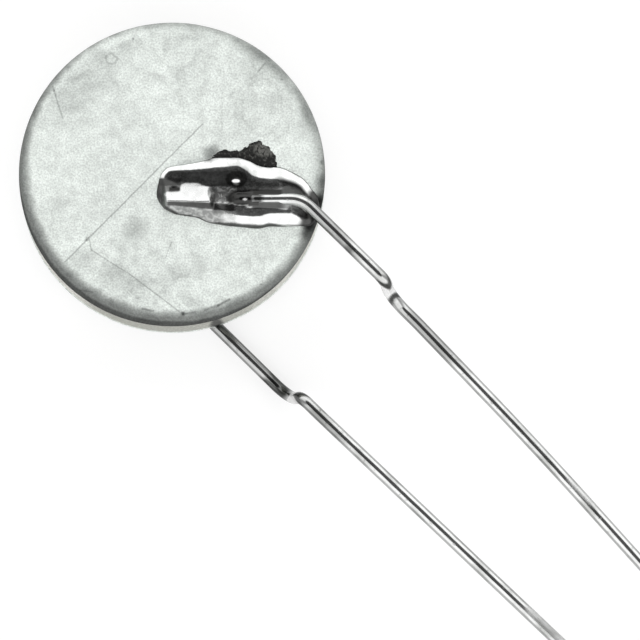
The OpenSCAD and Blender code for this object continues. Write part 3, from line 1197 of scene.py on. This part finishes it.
        # Painted dark reflections and shade: the bitten notch, the ridge's falling side, the solder over the
        # rim, the hollows and the pool's middle; real smoke marks only along the crust.
        soot_and_painted_dark = np.max([
            bite,
            0.92 * under * window(at.u, (0.3, 0.5), (3.1, 3.4)),
            0.95 * ease(DISC.flat_r - 0.3, DISC.flat_r + 0.05, from_axis - 0.2 * ease(0.0, 0.4, at.v)),
            self.painted_dark_spots(wander, astray),
            self.edge_soot_and_painted_dark(wander, astray),
            self.mirrored_dark(crystal) * (1 - painted_highlight),
        ], axis=0)
        return {
            "painted_highlight": painted_highlight,
            "dull": np.maximum(strip, ease(DISC.flat_r + 0.3, DISC.flat_r + 0.5, from_axis)),
            "soot_and_painted_dark": soot_and_painted_dark * (1 - painted_highlight),
            "crystal": crystal,
        }

    def painted_dark_spots(self, wander: np.ndarray, astray: Places) -> np.ndarray:
        """Lays out painted dark reflections and shade in the hollows round the ridge, the bead and the wire.

        Args:
            wander: the noise that makes its edges uneven.
            astray: the places moved by that noise.

        Returns:
            The painted dark, from 0 to 1.
        """
        at, off = self.places, self.off_wire
        beside = (ease(0.1, 0.18, off) - ease(0.36, 0.5, off)) * window(at.u, (3.7, 3.95), (5.0, 6.0))
        # Painted dark reflections and shade round the bead and the wire, in the gaps, at the tip and beside
        # the wire.
        return np.max([
            0.97 * np.clip(1.8 * at.hill(*self.bead_painted_dark), 0, 1),
            0.98 * np.clip(2.2 * astray.hill(*self.wire_painted_dark), 0, 1),
            0.97 * at.plot(*self.wire_gap),
            0.95 * at.moved(0.0, 0.5 * wander).plot(*self.tip_gap),
            0.8 * at.moved(wander).plot(*self.facet_end),
            0.92 * (1 - ease(0.3, 0.5, at.u)) * (1 - ease(0.55, 0.95, at.v + wander)),
            (0.93 + 0.07 * ease(-0.1, 0.1, at.v)) * beside,
        ], axis=0)

    def edge_soot_and_painted_dark(self, wander: np.ndarray, astray: Places) -> np.ndarray:
        """Lays out painted dark reflections along the outline and at the lower right corner, and smoke marks
        by the crust.

        Args:
            wander: the noise that makes its edges uneven.
            astray: the places moved by that noise.

        Returns:
            The darkening, from 0 to 1.
        """
        at, u, v = self.places, self.places.u, self.places.v
        lower = 1 - ease(-0.3, 0.1, v)
        lip = 0.035 + 0.1 * lower * window(u, (2.2, 3.0), (4.6, 5.2)) + 0.06 * lower * (1 - ease(0.6, 1.0, u))
        # Where the lip's painted dark is paler, on the upper left.
        painted_pale = ease(0.1, 0.5, v) * (1 - ease(1.9, 2.6, u))
        corner = (0.93 - 0.33 * ease(-0.95, -0.65, v)) * ease(5.9, 6.02, u + 0.5 * wander + 0.7 * (v + 1.09))
        # The lip line and the lower right corner are painted dark reflections; the crust's edge and smoke are
        # real smoke marks.
        return np.max([
            (0.9 - 0.65 * painted_pale) * (1 - ease(0.6, 1.4, (self.inside + 0.4 * wander) / lip)),
            0.85 * at.moved(wander).plot(*self.crust_edge) * (1 - ease(-0.06, 0.22, self.inside + wander)),
            0.9 * astray.hill(*self.crust_smoke),
            corner * (1 - ease(-0.3, -0.1, v)),
        ], axis=0)

    def mirrored_dark(self, crystal: np.ndarray) -> np.ndarray:
        """Lays out the painted dark reflection in the pool's middle, inside the bright band.

        Args:
            crystal: the grain of each place.

        Returns:
            The painted dark, from 0 to 1.
        """
        at, (_, share) = self.places, self.band()
        shade = 0.45 + 0.4 * ease(-0.1, 0.3, at.v) + at.rough((0.1, 1.3, 7.0)) - 0.2 * crystal
        corner = window(at.u, (4.6, 5.2), (6.2, 6.6)) * ease(-0.1, 0.1, at.v) * ease(0.5, 0.85, share)
        # Painted dark reflection over the pool's flat middle and in the lower right corner.
        return np.maximum(ease(0.75, 1.25, share) * shade, 0.94 * corner)

    def build(self) -> bpy.types.Object:
        """Raises the grid to the solder's form.

        Returns:
            The solder.
        """
        bm = self.grid()
        self.inside = self.places.depth_in(rounded(self.outline))
        return self.close(bm, self.height(), self.patches(), f"{self.side.value}_solder")

    def dress(self, piece: bpy.types.Object, finish: bpy.types.Material) -> None:
        """Gives the solder its finish."""
        seat(piece, finish, f"{self.side.value}_solder_fillet")


@dataclass
class FluxCrust(Relief):
    """The charred flux beside the front solder, as a crumbled height over the film."""

    side: Side = Side.FRONT
    spacing: float = 0.025
    low: Point2 = (1.6, 0.9)
    high: Point2 = (5.2, 2.5)
    tallest: float = 0.16
    lift: float = 0.01
    deepest: float = 0.03
    lap: float = 0.04
    ragged: tuple[Layer, ...] = ((0.09, 3.5, 2.0), (0.07, 9.0, 4.0), (0.04, 20.0, 6.0))
    crumbs: tuple[Layer, ...] = ((0.5, 7.0, 9.0), (0.35, 16.0, 11.0))
    ash: Hill = ((4.42, 1.96), (0.5, 0.34))
    outline: list[Point2] = field(default_factory=lambda: [
        (2.18, 1.42), (2.28, 1.63), (2.45, 1.83), (2.66, 1.93), (3.0, 1.9), (3.4, 1.93), (3.7, 2.06),
        (4.0, 2.26), (4.3, 2.25), (4.6, 2.02), (4.82, 1.75), (4.9, 1.45), (4.95, 1.1), (4.4, 1.0),
        (3.6, 1.2), (2.6, 1.2),
    ])

    def build(self) -> bpy.types.Object:
        """Raises the grid to the crust's form.

        Returns:
            The crust.
        """
        bm, at = self.grid(), self.places
        ragged = at.rough(*self.ragged)
        beside = self.lap - at.depth_in(rounded(Solder(Side.FRONT).outline))
        self.inside = np.minimum(at.depth_in(rounded(self.outline)) + ragged, beside + 0.3 * ragged)
        crumbs = 0.5 + at.rough(*self.crumbs)
        height = self.tallest * ease(0, 0.25, self.inside) * np.clip(0.35 + 0.6 * crumbs, 0.15, 1)
        height = np.where(self.inside > 0, height + self.lift, np.maximum(self.inside, -self.deepest))
        return self.close(bm, height, {"ash": ease(0.25, 0.6, at.hill(*self.ash))}, "flux_crust")

    def dress(self, piece: bpy.types.Object) -> None:
        """Gives the crust its finish."""
        seat(piece, FluxFinish().make(), "flux_residue")


@dataclass(frozen=True)
class Step:
    """A straight length of wire in mm, then a bend: the side that it turns to, its turn and its radius."""

    run: float
    side: float = 0.0
    turn: float = 0.0
    bend_r: float = 0.0


@dataclass(frozen=True)
class Spot:
    """A mark on a wire, used for staining with painted dark reflections and for wear: its place along the
    wire from the kink's start, its half length and its strength.

    It lies on one side or all round, and by its lag further along at the wire's sides than on top.
    """

    at: float
    half: float
    strength: float
    side: float = 0.0
    lag: float = 0.0

    def at_point(self, across: float, along: float) -> float:
        """Finds the mark's strength at a point, less on the side that it doesn't lie on.

        Args:
            across: how far the point lies to the wire's side, as a share of its radius.
            along: its place along the wire from the kink's start.

        Returns:
            The strength.
        """
        length = 1 - ease(0.6, 1.2, abs(along - self.at - self.lag * across**2) / self.half)
        width = ease(-0.48, 0.24, across * self.side) if self.side else 1.0
        return float(self.strength * length * width)


@dataclass
class Lead:
    """A tinned wire from its end in the solder, over the face, down the kink and out to its cut end.

    The kink moves it aside by its shift, and the radii of the kink's bends are shares of its drop. Its
    painted pale length, the kink's steep link painted near white as a painted reflection, has its two soft
    ends in mm from the kink's start.
    """

    side: Side
    shift: float
    first_bend: float
    second_bend: float
    toe: float
    bow: float
    # Soft ends of the kink's link that is painted near white, a painted reflection.
    painted_pale: tuple[Point2, Point2]
    stains_and_painted_dark: tuple[Spot, ...]
    worn: tuple[Spot, ...]
    wire_r: float = 0.25
    bed: float = 0.03
    reach: float = 33.0
    kink_run: float = 3.4
    kink_angle: float = math.radians(75)
    toe_start: float = 0.4
    toe_r: float = 12.0
    bow_start: float = 3.8
    bow_run: float = 6.0
    buried: float = 3.0
    taper: float = 0.35
    segments: int = 48
    pace: float = 0.2
    finest_turn: float = math.radians(5)
    chamfer: float = 0.03

    @property
    def wire_z(self) -> float:
        """Height of the wire's axis on the face over the disc's middle plane."""
        return DISC.face_z + self.bed + self.wire_r

    @property
    def kink_start(self) -> float:
        """Length from the wire's first point to where the kink starts."""
        leg, over_rim = self.steps()[:2]
        return leg.run + leg.turn * leg.bend_r + over_rim.run

    def steps(self) -> list[Step]:
        """Lists the wire's straight lengths and bends, as the CAD source lays them.

        Returns:
            The steps from the wire's first point to its chamfered end.
        """
        inward = -math.pi / 2
        drop = math.hypot(self.wire_z, self.shift)
        aslant = -math.atan(self.shift / self.wire_z)
        bends = drop * (self.first_bend + self.second_bend)
        kink_leg = (drop - bends * (1 - math.cos(self.kink_angle))) / math.sin(self.kink_angle)
        kink_l = bends * math.sin(self.kink_angle) + kink_leg * math.cos(self.kink_angle)
        bow_r, bow_run = (self.bow_run / self.bow, self.bow_run) if self.bow else (0.0, 0.0)
        taken = self.toe_start + self.toe_r * self.toe + self.bow_start + bow_run
        return [
            Step(WIRE_LEG.straight - self.buried, inward, WIRE_LEG.angle, WIRE_LEG.bend_r),
            Step(WIRE_LEG.bend_inset + self.kink_run, aslant, self.kink_angle, drop * self.first_bend),
            Step(kink_leg, math.pi + aslant, self.kink_angle, drop * self.second_bend),
            Step(self.toe_start, inward, self.toe, self.toe_r),
            Step(self.bow_start, inward, self.bow, bow_r),
            Step(self.reach - WIRE_LEG.rim_x - self.kink_run - kink_l - taken - self.chamfer),
        ]

    def start(self) -> Matrix:
        """Finds where the wire starts in the solder.

        Returns:
            The frame at its first point, with the wire along +Z.
        """
        back = -WIRE_LEG.straight - WIRE_LEG.corner_l + self.buried
        turned = Matrix.Rotation(WIRE_LEG.angle, 4, "Z") @ Matrix.Translation((back, 0, 0))
        laid = turned @ Matrix.Rotation(math.pi / 2, 4, "Y")
        return Matrix.Translation((*WIRE_LEG.corner, self.wire_z)) @ laid

    def stations(self) -> list[tuple[Matrix, float]]:
        """Follows the wire.

        Returns:
            The frame at each station, with its distance along the wire.
        """
        at, length = self.start(), 0.0
        found = [(at, length)]
        for step in self.steps():
            count = max(1, round(step.run / self.pace))
            for _ in range(count):
                at = at @ Matrix.Translation((0, 0, step.run / count))
                length += step.run / count
                found.append((at, length))
            if not step.turn:
                continue
            arc = step.turn * step.bend_r
            count = max(1, math.ceil(step.turn / self.finest_turn), round(arc / self.pace))
            spin = (Matrix.Rotation(step.side, 4, "Z") @ Matrix.Translation((step.bend_r, 0, 0))
                    @ Matrix.Rotation(step.turn / count, 4, "Y") @ Matrix.Translation((-step.bend_r, 0, 0))
                    @ Matrix.Rotation(-step.side, 4, "Z"))
            for _ in range(count):
                at = at @ spin
                length += arc / count
                found.append((at, length))
        return found

    def build(self) -> bpy.types.Object:
        """Draws a circle along the stations and bevels the cut end.

        Returns:
            The wire.
        """
        bm = bmesh.new()
        bm.verts.layers.float_vector.new("straight")
        for name in ("painted_pale", "stain_and_painted_dark", "worn"):
            bm.verts.layers.float.new(name)
        stations = self.stations()
        first, last, length = stations[0][0], *stations[-1]
        ring = bmesh.ops.create_circle(bm, segments=self.segments, radius=self.wire_r, matrix=first)["verts"]
        edges = list({edge for vert in ring for edge in vert.link_edges})
        self._mark(bm, ring, first, 0.0)
        bmesh.ops.contextual_create(bm, geom=edges)
        for (before, _), (after, run) in zip(stations, stations[1:]):
            ring, edges = self._extend(bm, edges, after @ before.inverted())
            self._mark(bm, ring, after, run)
        shrink = 1 - self.chamfer / self.wire_r
        tip = last @ Matrix.Translation((0, 0, self.chamfer)) @ Matrix.Diagonal((shrink, shrink, 1, 1))
        ring, edges = self._extend(bm, edges, tip @ last.inverted())
        self._mark(bm, ring, last, length + self.chamfer)
        bmesh.ops.contextual_create(bm, geom=edges)
        return to_piece(bm, f"{self.side.value}_wire", DISC.place(self.side))

    def _extend(self, bm: bmesh.types.BMesh, edges: list, move: Matrix) -> tuple[list, list]:
        """Extrudes the open ring.

        Args:
            bm: the wire's mesh.
            edges: the ring's edges.
            move: the move from the old ring to the new one.

        Returns:
            The new ring's points and edges.
        """
        made = bmesh.ops.extrude_edge_only(bm, edges=edges)["geom"]
        ring = [part for part in made if isinstance(part, bmesh.types.BMVert)]
        bmesh.ops.transform(bm, matrix=move, verts=ring)
        return ring, [part for part in made if isinstance(part, bmesh.types.BMEdge)]

    def _mark(self, bm: bmesh.types.BMesh, ring: list, at: Matrix, length: float) -> None:
        """Writes where each point of a ring would lie if the wire were straight, and its marks.

        Args:
            bm: the wire's mesh.
            ring: the ring's points.
            at: the frame at the ring.
            length: distance along the wire.
        """
        layers = bm.verts.layers
        inverse = at.inverted()
        along = length - self.kink_start
        for vert in ring:
            local = inverse @ vert.co
            across = local.y / self.wire_r
            wider = self.taper * across**2
            vert[layers.float_vector["straight"]] = Vector((local.x, local.y, length))
            # Painted reflection: the share of the kink's link painted near white.
            vert[layers.float["painted_pale"]] = float(
                ease(*self.painted_pale[0], along + wider) * (1 - ease(*self.painted_pale[1], along - wider)))
            # Stains with painted dark reflections, and wear.
            for name, spots in (("stain_and_painted_dark", self.stains_and_painted_dark), ("worn", self.worn)):
                vert[layers.float[name]] = max((spot.at_point(across, along) for spot in spots), default=0.0)

    def dress(self, piece: bpy.types.Object, finish: bpy.types.Material) -> None:
        """Gives the wire its finish."""
        seat(piece, finish, f"{self.side.value}_lead")


@dataclass
class Studio:
    """The table, the ring of soft light over it and the camera, with the ring's angles in degrees."""

    target: Vector = field(default_factory=lambda: Vector((-4.875, -0.04, 3.46)) * MM)
    tilt: float = math.radians(6.4)
    lean: Point2 = (0.637, -0.770)
    up: Vector = field(default_factory=lambda: Vector((-0.702, 0.712, 0.0)))
    distance: float = 0.3
    sensor: float = 36.0
    lens: float = 415.2
    clip: Point2 = (0.01, 10.0)
    cap: float = 0.12
    ring: float = 1.7
    ring_from: float = 31.0
    ring_soft: float = 3.0
    ring_to: float = 72.0
    horizon: float = 92.0
    horizon_share: float = 0.6
    ends: float = 0.35
    ends_span: Point2 = (0.1, 0.6)
    floor_half: float = 2.0
    floor_colour: float = 0.3
    floor_glow: float = 0.74
    floor_mirrored: float = 0.62

    def tilted(self, sign: float) -> Vector:
        """Gives the way to the camera, or its mirror image about the vertical where the sign is -1."""
        across = sign * math.sin(self.tilt)
        return Vector((across * self.lean[0], across * self.lean[1], math.cos(self.tilt)))

    def camera(self) -> None:
        """Sets the camera over the disc, tilted as in the photo."""
        data = bpy.data.cameras.new("camera")
        data.sensor_width = self.sensor
        data.lens = self.lens
        data.clip_start, data.clip_end = self.clip
        camera = bpy.data.objects.new("camera", data)
        bpy.context.scene.collection.objects.link(camera)
        back = self.tilted(1.0).normalized()
        up = (self.up - back * self.up.dot(back)).normalized()
        turned = Matrix((up.cross(back), up, back)).transposed().to_4x4()
        camera.matrix_world = Matrix.Translation(self.target + back * self.distance) @ turned
        bpy.context.scene.camera = camera
        LOG.info("camera %.0f mm from the disc", self.distance / MM)

    def light(self) -> None:
        """Lights the scene by a sky that is dark overhead and bright in a ring round that.

        It fades below the horizon, and it is dimmer to the photo's left and right than above and below it.
        """
        world = bpy.data.worlds.new("studio")
        bpy.context.scene.world = world
        world.use_nodes = True
        sky = Nodes(world.node_tree)
        way = sky.add("ShaderNodeTexCoord", {}).outputs["Generated"]
        angle = sky.math("ARCCOSINE", sky.vector("DOT_PRODUCT", way, tuple(self.tilted(-1.0))))
        stops = [
            (0.0, self.cap), (self.ring_from - self.ring_soft, self.cap),
            (self.ring_from + self.ring_soft, self.ring), (self.ring_to, self.ring),
            (self.horizon, self.horizon_share * self.ring),
        ]
        level = sky.vector("NORMALIZE", sky.vector("MULTIPLY", way, FLAT))
        beside = sky.math("ABSOLUTE", sky.vector("DOT_PRODUCT", level, tuple(self.up)))
        glow = sky.add("ShaderNodeBackground", {
            "Color": sky.ramp(sky.math("DIVIDE", angle, math.pi), [(at / 180, grey) for at, grey in stops]),
            "Strength": sky.span(beside, *self.ends_span, (self.ends, 1.0)),
        })
        sky.add("ShaderNodeOutputWorld", {"Surface": glow.outputs[0]})

    def floor(self) -> None:
        """Lays a white table, which glows to the eye and in reflections but keeps the object's shadow."""
        bm = bmesh.new()
        bmesh.ops.create_grid(bm, x_segments=1, y_segments=1, size=self.floor_half)
        mesh = bpy.data.meshes.new("table")
        bm.to_mesh(mesh)
        bm.free()
        table = bpy.data.objects.new("table", mesh)
        bpy.context.scene.collection.objects.link(table)
        nodes = MaterialNodes("table")
        rays = nodes.add("ShaderNodeLightPath", {}).outputs
        mirrored = nodes.most(rays["Is Glossy Ray"], rays["Is Transmission Ray"])
        seen = nodes.most(rays["Is Camera Ray"], nodes.times(mirrored, self.floor_mirrored))
        nodes.set({
            "Base Color": (self.floor_colour,) * 3,
            "Roughness": 1.0,
            "Specular IOR Level": 0.0,
            "Emission Color": (1.0, 1.0, 1.0),
            "Emission Strength": nodes.times(seen, self.floor_glow),
        })
        mesh.materials.append(nodes.material)
        LOG.info("table, light and camera stand")


def main() -> None:
    """Builds and dresses each piece and sets the studio, logging each piece's faces and the camera's
    distance.
    """
    logging.basicConfig(level=logging.INFO, format="%(name)s: %(message)s")
    bpy.context.scene.view_settings.view_transform = "Standard"
    studio = Studio()
    studio.camera()
    studio.light()
    studio.floor()
    Ceramic().dress()
    for electrode in (Electrode(Side.FRONT), Electrode(Side.REAR)):
        electrode.dress(electrode.build())
    solder_finish = SolderFinish().make()
    for solder in (Solder(Side.FRONT), Solder(Side.REAR, spacing=0.05)):
        solder.dress(solder.build(), solder_finish)
    crust = FluxCrust()
    crust.dress(crust.build())
    wire_finish = WireFinish().make()
    front = Lead(
        side=Side.FRONT, shift=0.16, first_bend=0.32, second_bend=0.73,
        toe=math.radians(1.75), bow=math.radians(1.8), painted_pale=((0.72, 0.85), (1.3, 1.45)),
        # Stains and painted dark reflections; the lagging spots are the painted dark tips at the kink's
        # bends.
        stains_and_painted_dark=(
            Spot(at=-6.15, half=0.3, strength=0.9),
            Spot(at=-2.75, half=1.2, strength=0.5),
            Spot(at=-2.2, half=0.9, strength=0.5, side=-1),
            Spot(at=-1.5, half=0.3, strength=0.8, side=-1),
            Spot(at=0.58, half=0.16, strength=0.95, lag=-0.35),
            Spot(at=1.62, half=0.2, strength=0.95, lag=0.35),
            Spot(at=4.1, half=1.5, strength=0.55),
        ),
        worn=(Spot(at=13.0, half=0.8, strength=0.5, side=1),),
    )
    rear = Lead(
        side=Side.REAR, shift=0.25, first_bend=0.6, second_bend=0.32,
        toe=math.radians(1), bow=0.0, painted_pale=((1.25, 1.4), (1.85, 2.0)),
        # Stains and painted dark reflections; the lagging spots are the painted dark tips at the kink's
        # bends.
        stains_and_painted_dark=(
            Spot(at=-3.3, half=1.0, strength=0.6),
            Spot(at=-2.4, half=2.6, strength=0.4, side=1),
            Spot(at=-2.2, half=2.4, strength=0.75, side=-1),
            Spot(at=-2.2, half=2.4, strength=0.3),
            Spot(at=0.3, half=0.85, strength=1.0, lag=-0.3),
            Spot(at=2.1, half=0.2, strength=0.95, lag=0.3),
            Spot(at=3.4, half=1.5, strength=0.5, side=1),
        ),
        worn=(Spot(at=15.8, half=1.1, strength=1.0, side=-1),),
    )
    for lead in (front, rear):
        lead.dress(lead.build(), wire_finish)


if __name__ == "__main__":
    main()
